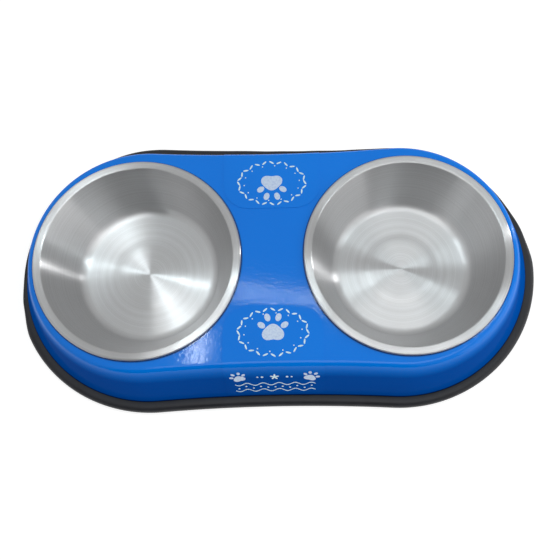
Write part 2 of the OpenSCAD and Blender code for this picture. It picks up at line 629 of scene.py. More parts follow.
@dataclass(frozen=True)
class FootRubber:
    """Moulded charcoal rubber with a satin skin."""

    name: str = "foot_rubber"
    dark: Triple = (0.009, 0.0095, 0.013)
    pale: Triple = (0.016, 0.017, 0.022)
    tone: Point = (0.35, 0.7)
    rough: Point = (0.42, 0.56)
    shine: float = 0.42
    patch_scale: float = 60.0
    grain_scale: float = 1900.0
    grain_height: float = 0.05 * MM
    grain_strength: float = 0.4

    def build(self) -> bpy.types.Material:
        """Makes the material.

        Returns:
            The material.
        """
        material, nodes, shader = new_material(self.name, Specular_IOR_Level=self.shine)
        place = nodes.place()
        patches = nodes.noise(place, self.patch_scale, 4.0)
        nodes.join(nodes.ramp(patches, self.dark, self.pale, self.tone), shader.inputs["Base Color"])
        nodes.join(nodes.spread(patches, new=self.rough), shader.inputs["Roughness"])
        normal = nodes.bump(nodes.noise(place, self.grain_scale), self.grain_height, self.grain_strength)
        nodes.join(normal, shader.inputs["Normal"])
        return material


@dataclass(frozen=True)
class PrintInk:
    """Flat printed ink, slightly uneven in its cover."""

    name: str
    thin: Triple
    full: Triple
    cover_scale: float = 700.0
    cover: Point = (0.3, 0.6)
    rough: Point = (0.3, 0.42)
    coat: float = 0.6
    coat_roughness: float = 0.1

    def build(self) -> bpy.types.Material:
        """Makes the material.

        Returns:
            The material.
        """
        material, nodes, shader = new_material(
            self.name, Coat_Weight=self.coat, Coat_Roughness=self.coat_roughness
        )
        cover = nodes.noise(nodes.place(), self.cover_scale, 3.0)
        nodes.join(nodes.ramp(cover, self.thin, self.full, self.cover), shader.inputs["Base Color"])
        nodes.join(nodes.spread(cover, new=self.rough), shader.inputs["Roughness"])
        return material


@dataclass
class StandPlan:
    """Plan of the stand: a round end about each bowl and a hollow arc along each side.

    A point of a section is given by how far it lies outside the line where deck and
    skirt would meet, and by its height.
    """

    corner_r: float = 88 * MM
    end_x: float = 100 * MM
    waist_in: float = 3.2 * MM
    end_steps: int = 132
    side_steps: int = 26

    def __post_init__(self) -> None:
        """Works out the hollow arcs, which meet the round ends smoothly."""
        self.hollow_y = (self.end_x**2 - self.waist_in**2) / (2 * self.waist_in)
        self.hollow_r = self.hollow_y - self.corner_r + self.waist_in
        self.turn = math.atan2(self.end_x, self.hollow_y)

    def on_side(self, x: float, out: float, z: float, side: Side) -> Vector:
        """Finds a point on a long side of the stand.

        Args:
            x: Its place along the stand.
            out: How far it lies outside the corner line.
            z: Its height.
            side: Front or rear.

        Returns:
            The point in the frame.
        """
        y = self.hollow_y - math.sqrt((self.hollow_r - out) ** 2 - x**2)
        return Vector((x, y if side is Side.REAR else -y, z))

    def locate(self, place: Vector) -> tuple[float, Vector]:
        """Finds how far outside the corner line a point lies, and which way is out.

        Args:
            place: The point.

        Returns:
            Its outward distance and the outward direction in plan.
        """
        if abs(place.x) > self.end_x - abs(place.y) * math.tan(self.turn):
            run = Vector((place.x - math.copysign(self.end_x, place.x), place.y, 0.0))
            return run.length - self.corner_r, run.normalized()
        run = Vector((-place.x, math.copysign(self.hollow_y, place.y) - place.y, 0.0))
        return self.hollow_r - run.length, run.normalized()

    def sweep(self, bm: bmesh.types.BMesh, section: Sequence[Point], closed: bool) -> None:
        """Sweeps a section all the way round the stand.

        Args:
            bm: Mesh that takes the surface.
            section: The section's points, outward distance and height.
            closed: Whether the section is a closed loop.
        """
        start = [self.on_side(0.0, out, z, Side.REAR) for out, z in section]
        row = add_wire(bm, start, closed)
        around_end = -(math.pi + 2 * self.turn)
        moves = [
            ((0.0, self.hollow_y), self.turn, self.side_steps),
            ((self.end_x, 0.0), around_end, self.end_steps),
            ((0.0, -self.hollow_y), 2 * self.turn, 2 * self.side_steps),
            ((-self.end_x, 0.0), around_end, self.end_steps),
            ((0.0, self.hollow_y), self.turn, self.side_steps),
        ]
        for centre, angle, steps in moves:
            row = spin(bm, row, centre, angle, steps)


@dataclass
class SkirtSide:
    """Section of the stand's side: flat deck, rounded shoulder and flared skirt."""

    deck_h: float
    foot_h: float
    flare: float = 20.5 * MM
    shoulder_r: float = 5 * MM
    steel: float = 1 * MM
    guard: float = 1.5 * MM
    shoulder_steps: int = 14
    skirt_steps: int = 14

    def __post_init__(self) -> None:
        """Works out the slope and the centre of the shoulder's arc."""
        self.drop = self.deck_h - self.foot_h
        self.slope = math.atan2(self.drop, self.flare)
        back = self.shoulder_r * math.tan(self.slope / 2)
        self.centre = (-back, self.deck_h - self.shoulder_r)

    def out_at(self, z: float, off: float) -> float:
        """Gives how far the skirt's face, moved off outwards, stands out at a height.

        Args:
            z: The height.
            off: How far the face is moved.

        Returns:
            Its distance outside the corner line.
        """
        return (self.deck_h - z) * self.flare / self.drop + off / math.sin(self.slope)

    def face(self, off: float, inner: float, low: float) -> list[Point]:
        """Draws the side's face from the deck down to the skirt's lower edge.

        A short guard on each side of the shoulder keeps its rounding off the flats.

        Args:
            off: How far the line lies outside the steel's outer face.
            inner: Where it starts on the deck, as a distance from the corner line.
            low: Height at which it ends.

        Returns:
            The points of the line.
        """
        radius = self.shoulder_r + off
        shoulder = arc(self.centre, radius, 90.0, 90.0 - math.degrees(self.slope), self.shoulder_steps)
        out, z = shoulder[-1]
        above = (self.centre[0] - self.guard, self.deck_h + off)
        below = (out + self.guard * math.cos(self.slope), z - self.guard * math.sin(self.slope))
        start = (inner, self.deck_h + off)
        foot = (self.out_at(low, off), low)
        return [start, above, *shoulder, below, *line(below, foot, self.skirt_steps), foot]


@dataclass
class StandShell:
    """The one-piece pressing: deck, two collared holes, shoulder and skirt."""

    plan: StandPlan
    side: SkirtSide
    bowl_x: float
    hole_r: float = 74.45 * MM
    bend_r: float = 1.5 * MM
    collar_h: float = 5 * MM
    collar_land: float = 1.2 * MM
    rim_land: float = 5.6 * MM
    hole_steps: int = 160
    bend_steps: int = 8
    paint: GlossPaint = field(default_factory=GlossPaint)

    def side_section(self) -> list[Point]:
        """Draws the outer face down, the lower edge and the inner face back up.

        Returns:
            The points of the line.
        """
        outer = self.side.face(0.0, -self.rim_land, self.side.foot_h)
        inner = self.side.face(-self.side.steel, -self.rim_land, self.side.foot_h)
        return outer + inner[::-1]

    def collar_section(self) -> list[Point]:
        """Draws the bend and the collar round a hole, from deck top to deck underside.

        Returns:
            The points of the line, as radius and height.
        """
        deck = self.side.deck_h
        bend = (self.hole_r + self.bend_r, deck - self.bend_r)
        land = bend[0] + self.collar_land
        low = deck - self.collar_h
        steel = self.side.steel
        over = arc(bend, self.bend_r, 90.0, 180.0, self.bend_steps)
        under = arc(bend, self.bend_r - steel, 180.0, 90.0, self.bend_steps)
        collar_end = [(self.hole_r, low), (self.hole_r + steel, low)]
        return [(land, deck), *over, *collar_end, *under, (land, deck - steel)]

    def fill_deck(self, bm: bmesh.types.BMesh, z: float) -> None:
        """Fills the flat of the deck at a height, between its outline and the holes.

        Args:
            bm: Mesh that holds the outline and the holes.
            z: The height.
        """
        edges = [
            e for e in bm.edges
            if e.is_boundary and all(abs(v.co.z - z) < MERGE_DISTANCE for v in e.verts)
        ]
        bmesh.ops.triangle_fill(bm, use_beauty=True, use_dissolve=False, edges=edges, normal=UP)

    def build(self) -> bpy.types.Object:
        """Builds and dresses the shell.

        Returns:
            The shell, riding on the stand.
        """
        bm = bmesh.new()
        self.plan.sweep(bm, self.side_section(), False)
        for sign in (-1, 1):
            centre = sign * self.bowl_x
            row = add_wire(bm, [Vector((centre + r, 0.0, z)) for r, z in self.collar_section()], False)
            spin(bm, row, (centre, 0.0), FULL_TURN, self.hole_steps)
        bmesh.ops.remove_doubles(bm, verts=bm.verts, dist=MERGE_DISTANCE)
        self.fill_deck(bm, self.side.deck_h)
        self.fill_deck(bm, self.side.deck_h - self.side.steel)
        shell = as_object(bm, "painted_shell", self.paint.build())
        return seat(shell, "stand", ["stand_shell"])


@dataclass
class FootRing:
    """The moulded rubber ring that grips the skirt's lower edge."""

    plan: StandPlan
    side: SkirtSide
    height: float
    width: float = 6 * MM
    lip: float = 4 * MM
    rounding: float = 4.5 * MM
    bevel: float = 0.8 * MM
    soft_r: float = 0.6 * MM
    throat: float = 0.3 * MM
    gap: float = 0.1 * MM
    wall: float = 0.2 * MM
    edge_steps: int = 4
    crown_steps: int = 14
    shown: tuple[Point, ...] = (
        (0, 1.0), (8, 0.6), (16, 0.14), (30, 0.1), (45, 0.12), (60, 0.45), (75, 0.7), (90, 0.85),
        (105, 1.0), (135, 1.0), (150, 0.7), (165, 0.3), (180, 0.08), (187, 0.5), (195, 1.0), (360, 1.0),
    )
    rubber: FootRubber = field(default_factory=FootRubber)

    def section(self) -> list[Point]:
        """Draws the ring's section, with the groove for the skirt.

        Returns:
            The points of the closed line.
        """
        side = self.side
        top = self.height
        out = side.flare + self.width - self.bevel
        crown = (side.flare + self.width - self.rounding, top - self.rounding)
        outer = [side.out_at(z, self.gap) for z in (side.foot_h, top)]
        inner = [side.out_at(z, -side.steel - self.gap) for z in (side.foot_h, top)]
        soft = self.soft_r
        inside = inner[1] - self.lip + soft
        return [
            (inside, 0.0), *line((inside, 0.0), (out, 0.0), self.edge_steps),
            *arc((out, self.bevel), self.bevel, -90.0, 0.0, self.edge_steps),
            *arc(crown, self.rounding, 0.0, 90.0, self.crown_steps),
            (outer[1] + soft, top), (outer[1], top - self.throat),
            (outer[0], side.foot_h), (inner[0], side.foot_h),
            (inner[1], top - self.throat), (inner[1] - soft, top),
            *arc((inside, top - soft), soft, 90.0, 180.0, self.edge_steps),
            *arc((inside, soft), soft, 180.0, 225.0, self.edge_steps // 2),
        ]

    def share_shown(self, place: Vector) -> float:
        """Gives the share of the ring's width that stands out at a place round the stand.

        Args:
            place: The place.

        Returns:
            The share, 0 to 1.
        """
        turn = math.degrees(math.atan2(place.y, place.x)) % 360
        for (start, first), (end, last) in zip(self.shown, self.shown[1:]):
            if turn <= end:
                step = (turn - start) / (end - start)
                return first + (last - first) * (1 - math.cos(math.pi * step)) / 2
        return self.shown[-1][1]

    def draw_in(self, bm: bmesh.types.BMesh) -> None:
        """Draws the ring's outer edge in where it sits deeper under the skirt.

        Args:
            bm: Mesh of the ring.
        """
        base = self.side.out_at(self.side.foot_h, self.gap) + self.wall
        for vert in bm.verts:
            out, outwards = self.plan.locate(vert.co)
            if out > base:
                vert.co -= outwards * (out - base) * (1 - self.share_shown(vert.co))

    def build(self) -> bpy.types.Object:
        """Builds and dresses the ring.

        Returns:
            The ring, riding on the stand.
        """
        bm = bmesh.new()
        self.plan.sweep(bm, self.section(), True)
        self.draw_in(bm)
        ring = as_object(bm, "rubber_ring", self.rubber.build())
        return seat(ring, "stand", ["non_slip_ring"])


@dataclass
class Bowl:
    """A spun bowl with a flat rim band, a rolled edge and a raised disc in its floor."""

    side: Side
    centre_x: float
    rim_z: float
    rim_r: float = 80 * MM
    rim_w: float = 6.2 * MM
    rim_t: float = 2.4 * MM
    roll_w: float = 3.2 * MM
    bend_r: float = 1.4 * MM
    depth: float = 42 * MM
    steel_t: float = 0.8 * MM
    floor_r: float = 50 * MM
    fillet_r: float = 9 * MM
    press_r: float = 25.5 * MM
    press_run: float = 7 * MM
    press_rise: float = 0.8 * MM
    press_steps: int = 6
    ease_steps: int = 5
    floor_steps: int = 4
    fillet_steps: int = 14
    wall_steps: tuple[int, int] = (14, 12)
    bend_steps: int = 8
    roll_steps: int = 16
    around_steps: int = 192
    crease: float = 50.0
    steel: SpunSteel = field(default_factory=SpunSteel)

    def __post_init__(self) -> None:
        """Works out the slope of the wall and the places of its bends."""
        self.floor_z = self.rim_z - self.depth
        self.corner = (self.rim_r - self.rim_w, self.rim_z)
        self.fillet = (self.floor_r, self.floor_z + self.fillet_r)
        run = (self.corner[0] - self.fillet[0], self.corner[1] - self.fillet[1])
        self.lean = math.atan2(run[0], run[1]) - math.asin(self.fillet_r / math.hypot(*run))

    def pressing(self, z: float) -> list[Point]:
        """Draws the raised disc from its middle outwards, over a floor at height z.

        Args:
            z: Height of the floor round it.

        Returns:
            The points of the line, as radius and height.
        """
        top = z + self.press_rise
        middle = (0.0, top)
        edge = (self.press_r, top)
        slope = []
        for i in range(1, self.ease_steps + 1):
            share = i / self.ease_steps
            drop = self.press_rise * math.sin(share * math.pi / 2)
            slope.append((self.press_r + self.press_run * share, top - drop))
        return [middle, *line(middle, edge, self.press_steps), edge, *slope]

    def inside(self) -> list[Point]:
        """Draws the bowl's inner face, from the middle of its floor to the rim band.

        Returns:
            The points of the line, as radius and height.
        """
        lean = math.degrees(self.lean)
        floor_end = (self.floor_r, self.floor_z)
        start = (self.press_r + self.press_run, self.floor_z)
        bend_back = self.bend_r * math.tan((math.pi / 2 - self.lean) / 2)
        bend = (self.corner[0] + bend_back, self.rim_z - self.bend_r)
        fillet = arc(self.fillet, self.fillet_r, -90.0, -lean, self.fillet_steps)
        turn = arc(bend, self.bend_r, 180.0 - lean, 90.0, self.bend_steps)
        return [
            *self.pressing(self.floor_z), *line(start, floor_end, self.floor_steps), *fillet,
            *line(fillet[-1], turn[0], self.wall_steps[0]), *turn,
        ]

    def outside(self) -> list[Point]:
        """Draws the rolled edge and the outer face, back to the middle underneath.

        Returns:
            The points of the line, as radius and height.
        """
        lean = math.degrees(self.lean)
        roll_r = self.rim_t / 2
        roll = (self.rim_r - roll_r, self.rim_z - roll_r)
        low = self.rim_z - self.steel_t
        inner = self.rim_r - self.roll_w
        lost = self.steel_t * (1 - math.sin(self.lean)) / math.cos(self.lean)
        wall_top = (self.corner[0] + lost, low)
        fillet = arc(self.fillet, self.fillet_r + self.steel_t, -lean, -90.0, self.fillet_steps)
        return [
            *arc(roll, roll_r, 90.0, -90.0, self.roll_steps),
            (inner, self.rim_z - self.rim_t), (inner, low), wall_top,
            *line(wall_top, fillet[0], self.wall_steps[1]), *fillet,
            *self.pressing(self.floor_z - self.steel_t)[::-1],
        ]

    def add_turns(self, obj: bpy.types.Object) -> None:
        """Gives the bowl a map that runs round its axis, which the steel's grain follows.

        Args:
            obj: The bowl.
        """
        mesh = obj.data
        layer = mesh.uv_layers.new(name="around")
        for polygon in mesh.polygons:
            middle = polygon.center
            base = math.atan2(middle.y, middle.x - self.centre_x)
            for loop in polygon.loop_indices:
                place = mesh.vertices[mesh.loops[loop].vertex_index].co
                reach = Vector((place.x - self.centre_x, place.y)).length
                angle = math.atan2(place.y, place.x - self.centre_x) if reach > MM else base
                step = (angle - base + math.pi) % FULL_TURN - math.pi
                layer.data[loop].uv = ((base + step) / FULL_TURN, reach + place.z)

    def build(self) -> bpy.types.Object:
        """Builds and dresses the bowl.

        Returns:
            The bowl, riding on its own body.
        """
        bm = bmesh.new()
        places = [Vector((self.centre_x + r, 0.0, z)) for r, z in self.inside() + self.outside()]
        row = add_wire(bm, places, False)
        spin(bm, row, (self.centre_x, 0.0), FULL_TURN, self.around_steps)
        word = self.side.word
        bowl = as_object(bm, f"{word}_steel_bowl", self.steel.build(self.centre_x), self.crease)
        self.add_turns(bowl)
        return seat(bowl, f"{word}_bowl", [f"{word}_bowl"])


@dataclass
class Transfer:
    """A clear film on the deck and skirt, with a small generic print."""

    plan: StandPlan
    side: SkirtSide
    place: Side
    low: float
    inner_y: float = 39 * MM
    width: float = 76 * MM
    corner: float = 20 * MM
    gap: float = 0.15 * MM
    film_t: float = 0.15 * MM
    ink_t: float = 0.04 * MM
    before_shoulder: float = 3 * MM
    past_edge: float = 1.3
    film_steps: int = 44
    corner_steps: int = 14
    wreath_y: float = 21 * MM
    wreath_half: Point = (26 * MM, 17.5 * MM)
    paw_y: float = 21.5 * MM
    paw_size: float = 8.2 * MM
    small_paw: Point = (27 * MM, 17 * MM)
    small_paw_size: float = 4.6 * MM
    small_paw_tilt: float = 0.35
    ribbon_half: float = 31 * MM
    ribbon_down: float = 25 * MM

    def build_film(self, material: bpy.types.Material) -> bpy.types.Object:
        """Builds the film itself.

        Args:
            material: Material of the film.

        Returns:
            The film, riding on the stand.
        """
        bm = bmesh.new()
        start = self.side.centre[0] - self.before_shoulder
        row = self.side.face(self.gap + self.film_t, start, self.low)
        self.sweep_face(bm, row)
        for sign in (-1, 1):
            bmesh.ops.bisect_plane(
                bm, geom=[*bm.verts, *bm.edges, *bm.faces], dist=MERGE_DISTANCE,
                plane_co=(sign * self.width / 2, 0.0, 0.0), plane_no=(sign, 0.0, 0.0), clear_outer=True,
            )
        self.add_flat(bm, row[0])
        bmesh.ops.recalc_face_normals(bm, faces=bm.faces)
        if sum(f.normal.z for f in bm.faces) < 0:
            bmesh.ops.reverse_faces(bm, faces=bm.faces)
        bmesh.ops.solidify(bm, geom=bm.faces[:], thickness=self.film_t)
        film = as_object(bm, f"{self.place.word}_film", material)
        return seat(film, "stand", [f"{self.place.word}_transfer"])

    def sweep_face(self, bm: bmesh.types.BMesh, row: Sequence[Point]) -> None:
        """Sweeps the film's outer face along the hollow arc, past both of its long edges.

        Args:
            bm: Mesh that takes the face.
            row: The face's section.
        """
        sign = self.place.sign
        swing = math.asin(self.past_edge * self.width / 2 / self.plan.hollow_r)
        centre = Vector((0.0, sign * self.plan.hollow_y, 0.0))
        turn = Matrix.Rotation(-sign * swing, 3, "Z")
        places = [self.plan.on_side(0.0, out, z, self.place) for out, z in row]
        wire = add_wire(bm, [centre + turn @ (p - centre) for p in places], False)
        spin(bm, wire, (centre.x, centre.y), sign * 2 * swing, self.film_steps)

    def add_flat(self, bm: bmesh.types.BMesh, start: Point) -> None:
        """Adds the film's flat end on the deck, with its two rounded corners.

        Args:
            bm: Mesh that holds the swept face.
            start: Where the swept face starts on the deck.
        """
        edges = []
        for edge in bm.edges:
            near = [abs(v.co.y) < self.plan.corner_r + start[0] + MM for v in edge.verts]
            flat = [abs(v.co.z - start[1]) < MERGE_DISTANCE for v in edge.verts]
            level = abs(edge.verts[0].co.y - edge.verts[1].co.y) < MM
            if edge.is_boundary and all(near) and all(flat) and level:
                edges.append(edge)
        out = bmesh.ops.extrude_edge_only(bm, edges=edges)["geom"]
        for vert in out:
            if isinstance(vert, bmesh.types.BMVert):
                vert.co.y = self.place.sign * self.inner_y
        faces = [f for f in out if isinstance(f, bmesh.types.BMFace)]
        whole = bmesh.ops.dissolve_faces(bm, faces=faces)["region"]
        inner = [v for v in whole[0].verts if abs(abs(v.co.y) - self.inner_y) < MERGE_DISTANCE]
        ends = [v for v in inner if abs(abs(v.co.x) - self.width / 2) < MERGE_DISTANCE]
        bmesh.ops.dissolve_verts(bm, verts=[v for v in inner if v not in ends])
        bmesh.ops.bevel(
            bm, geom=ends, offset=self.corner, affect="VERTICES", segments=self.corner_steps,
            profile=0.5, material=-1,
        )

    def on_deck(self, x: float, y: float, h: float) -> Vector:
        """Places a point of the print on the deck.

        Args:
            x: Its place along the film, to the right of someone who faces this side.
            y: Its distance from the film's inner end, towards this side's edge.
            h: Its height over the film.

        Returns:
            The point in the frame.
        """
        sign = self.place.sign
        z = self.side.deck_h + self.gap + self.film_t + h
        return Vector((-sign * x, sign * (self.inner_y + y), z))

    def on_skirt(self, x: float, down: float, h: float) -> Vector:
        """Places a point of the print on the skirt.

        Args:
            x: Its place along the film, to the right of someone who faces this side.
            down: Its distance down the slope from the corner line.
            h: Its height over the film.

        Returns:
            The point in the frame.
        """
        slope = self.side.slope
        off = self.gap + self.film_t + h
        out = down * math.cos(slope) + off * math.sin(slope)
        z = self.side.deck_h - down * math.sin(slope) + off * math.cos(slope)
        return self.plan.on_side(-self.place.sign * x, out, z, self.place)

    def build_print(self, white: bpy.types.Material, lilac: bpy.types.Material) -> None:
        """Builds the print: a paw in a wreath on the deck, and a ribbon on the skirt.

        Args:
            white: Ink of the lines.
            lilac: Ink of the filled shapes.
        """
        lines = Print(self.ink_t)
        lines.wreath((0.0, self.wreath_y), self.wreath_half, self.on_deck)
        lines.ribbon(self.ribbon_half, self.ribbon_down, self.on_skirt)
        fills = Print(self.ink_t)
        fills.paw((0.0, self.paw_y), self.paw_size, 0.0, self.on_deck)
        x, down = self.small_paw
        for sign in (-1, 1):
            fills.paw((sign * x, down), self.small_paw_size, sign * self.small_paw_tilt, self.on_skirt)
        for ink, word, material in ((lines, "lines", white), (fills, "fills", lilac)):
            piece = as_object(ink.bm, f"{self.place.word}_print_{word}", material)
            seat(piece, "stand")


@dataclass
class Print:
    """Thin ink shapes, drawn flat and then laid on a film."""

    thickness: float
    leaves: int = 28
    leaf: Point = (2.1 * MM, 0.62 * MM)
    leaf_swing: float = 0.55
    leaf_dot: float = 0.5 * MM
    dot_inset: float = 0.84
    leaf_steps: int = 16
    leaf_dot_steps: int = 12
    line_half: float = 0.45 * MM
    line_steps: int = 96
    line_drop: float = 8.5 * MM
    waves: int = 5
    wave_h: float = 1.6 * MM
    dots: int = 11
    dot: float = 0.75 * MM
    dot_steps: int = 14
    dot_drop: float = 4.3 * MM
    top_row: float = 15.5 * MM
    side_dots: tuple[Point, ...] = ((9.5 * MM, 1 * MM), (13 * MM, 0.75 * MM))
    side_dot_steps: int = 16
    star: float = 3.6 * MM
    star_rays: int = 5
    star_shares: Point = (0.66, 0.34)
    star_steps: int = 60
    pad_shares: Triple = (0.86, 0.13, 0.1)
    pad_steps: int = 36
    toes: tuple[Point, ...] = ((-0.98, 1.28), (-0.34, 1.52), (0.34, 1.52), (0.98, 1.28))
    toe_half: Point = (0.27, 0.38)
    toe_steps: int = 24

    def __post_init__(self) -> None:
        """Starts the ink's mesh."""
        self.bm = bmesh.new()

    def lay(self, faces: list, surface: Surface) -> None:
        """Gives flat shapes their thickness and lays them on a film.

        Args:
            faces: Flat faces, drawn to the right and down the film.
            surface: Finds a point of the film's surface.
        """
        flat = {v for f in faces for v in f.verts}
        raised = bmesh.ops.extrude_face_region(self.bm, geom=faces, use_keep_orig=True)["geom"]
        top = {v for v in raised if isinstance(v, bmesh.types.BMVert)}
        for verts, height in ((flat, 0.0), (top, self.thickness)):
            for vert in verts:
                vert.co = surface(vert.co.x, vert.co.y, height)

    def blob(self, centre: Point, radius: float, shape: Callable[[float], float], steps: int) -> list:
        """Draws a filled shape from a circle whose radius changes with the angle.

        Args:
            centre: Middle of the shape.
            radius: Its radius.
            shape: Share of the radius at an angle.
            steps: Number of corners.

        Returns:
            The shape's face.
        """
        made = bmesh.ops.create_circle(self.bm, cap_ends=True, segments=steps, radius=radius)["verts"]
        for vert in made:
            share = shape(math.atan2(vert.co.y, vert.co.x))
            vert.co = Vector((centre[0] + vert.co.x * share, centre[1] + vert.co.y * share, 0.0))
        return list({f for v in made for f in v.link_faces})

    def oval(self, centre: Point, half: Point, tilt: float, steps: int) -> list:
        """Draws a filled oval.

        Args:
            centre: Middle of the oval.
            half: Its half length and half width.
            tilt: Its turn in radians.
            steps: Number of corners.

        Returns:
            The oval's face.
        """
        made = bmesh.ops.create_circle(self.bm, cap_ends=True, segments=steps, radius=1.0)["verts"]
        for vert in made:
            x = vert.co.x * half[0]
            y = vert.co.y * half[1]
            vert.co = Vector((
                centre[0] + x * math.cos(tilt) - y * math.sin(tilt),
                centre[1] + x * math.sin(tilt) + y * math.cos(tilt), 0.0,
            ))
        return list({f for v in made for f in v.link_faces})

    def round_dot(self, centre: Point, radius: float, steps: int) -> list:
        """Draws a round dot and gives its face."""
        return self.oval(centre, (radius, radius), 0.0, steps)

    def paw(self, centre: Point, size: float, tilt: float, surface: Surface) -> None:
        """Draws a paw print.

        Args:
            centre: Middle of the paw's pad.
            size: Half the width of the pad.
            tilt: Its turn in radians.
            surface: Finds a point of the film's surface.
        """
        def pad(angle: float) -> float:
            """Gives the pad's share of its radius, with two soft lobes below."""
            middle, wide, lobes = self.pad_shares
            turned = angle - tilt
            return middle + wide * math.cos(2 * turned) + lobes * math.sin(3 * turned)

        faces = self.blob(centre, size, pad, self.pad_steps)
        half = (self.toe_half[0] * size, self.toe_half[1] * size)
        for lean, reach in self.toes:
            turn = tilt + lean
            toe = (centre[0] + reach * size * math.sin(turn), centre[1] - reach * size * math.cos(turn))
            faces += self.oval(toe, half, turn, self.toe_steps)
        self.lay(faces, surface)

    def wreath(self, centre: Point, half: Point, surface: Surface) -> None:
        """Draws an oval wreath of small leaves, with a dot inside every second one.

        Args:
            centre: Middle of the wreath.
            half: Its half width and half height.
            surface: Finds a point of the film's surface.
        """
        def around(angle: float, share: float) -> Point:
            """Gives the place at an angle, on the wreath or at a share of its size."""
            return (
                centre[0] + share * half[0] * math.cos(angle),
                centre[1] + share * half[1] * math.sin(angle),
            )

        faces = []
        step = FULL_TURN / self.leaves
        for i in range(self.leaves):
            angle = FULL_TURN * i / self.leaves
            heading = math.atan2(half[1] * math.cos(angle), -half[0] * math.sin(angle))
            swing = self.leaf_swing if i % 2 else -self.leaf_swing
            faces += self.oval(around(angle, 1.0), self.leaf, heading + swing, self.leaf_steps)
            if i % 2:
                spot = around(angle + step / 2, self.dot_inset)
                faces += self.round_dot(spot, self.leaf_dot, self.leaf_dot_steps)
        self.lay(faces, surface)

    def wave(self, share: float) -> float:
        """Gives how far a waved line lies below its middle, at a share of its length."""
        return self.wave_h * math.sin(FULL_TURN * self.waves * share)

    def waved_line(self, half_w: float, down: float) -> list:
        """Draws one waved line.

        Args:
            half_w: Half the line's length.
            down: Its distance down the skirt.

        Returns:
            The line's faces.
        """
        faces = []
        ends = [self.bm.verts.new((-half_w, down + s * self.line_half, 0.0)) for s in (-1, 1)]
        edge = self.bm.edges.new(ends)
        for i in range(1, self.line_steps + 1):
            share = i / self.line_steps
            out = bmesh.ops.extrude_edge_only(self.bm, edges=[edge])["geom"]
            verts = [v for v in out if isinstance(v, bmesh.types.BMVert)]
            verts.sort(key=lambda v: v.co.y)
            for vert, s in zip(verts, (-1, 1)):
                place = (half_w * (2 * share - 1), down + self.wave(share) + s * self.line_half, 0.0)
                vert.co = Vector(place)
            edges = [e for e in out if isinstance(e, bmesh.types.BMEdge)]
            edge = next(e for e in edges if set(e.verts) == set(verts))
            faces += [f for f in out if isinstance(f, bmesh.types.BMFace)]
        return faces

    def ribbon(self, half_w: float, down: float, surface: Surface) -> None:
        """Draws two waved lines with dots between them, and a star with dots above.

        Args:
            half_w: Half the ribbon's width.
            down: Its distance down the skirt.
            surface: Finds a point of the film's surface.
        """
        def ray(angle: float) -> float:
            """Gives the star's share of its radius."""
            middle, swing = self.star_shares
            return middle + swing * math.cos(self.star_rays * angle + math.pi / 2)

        faces = self.waved_line(half_w, down) + self.waved_line(half_w, down + self.line_drop)
        for i in range(self.dots):
            share = (i + 0.5) / self.dots
            middle = (half_w * (2 * share - 1), down + self.dot_drop + self.wave(share))
            faces += self.round_dot(middle, self.dot, self.dot_steps)
        for sign in (-1, 1):
            for out, radius in self.side_dots:
                faces += self.round_dot((sign * out, self.top_row), radius, self.side_dot_steps)
        faces += self.blob((0.0, self.top_row), self.star, ray, self.star_steps)
        self.lay(faces, surface)


@dataclass(frozen=True)
class SoftLight:
    """A rectangular studio light, which shines straight down before it is turned."""

    name: str
    place: Triple
    turn: Triple
    size: Point
    power: float
    colour: Triple = WHITE

    def build(self) -> None:
        """Puts the light in the scene."""
        lamp = bpy.data.lights.new(self.name, "AREA")
        lamp.shape = "RECTANGLE"
        lamp.size, lamp.size_y = self.size
        lamp.energy = self.power
        lamp.color = self.colour
        place_object(bpy.data.objects.new(self.name, lamp), self.place, self.turn)


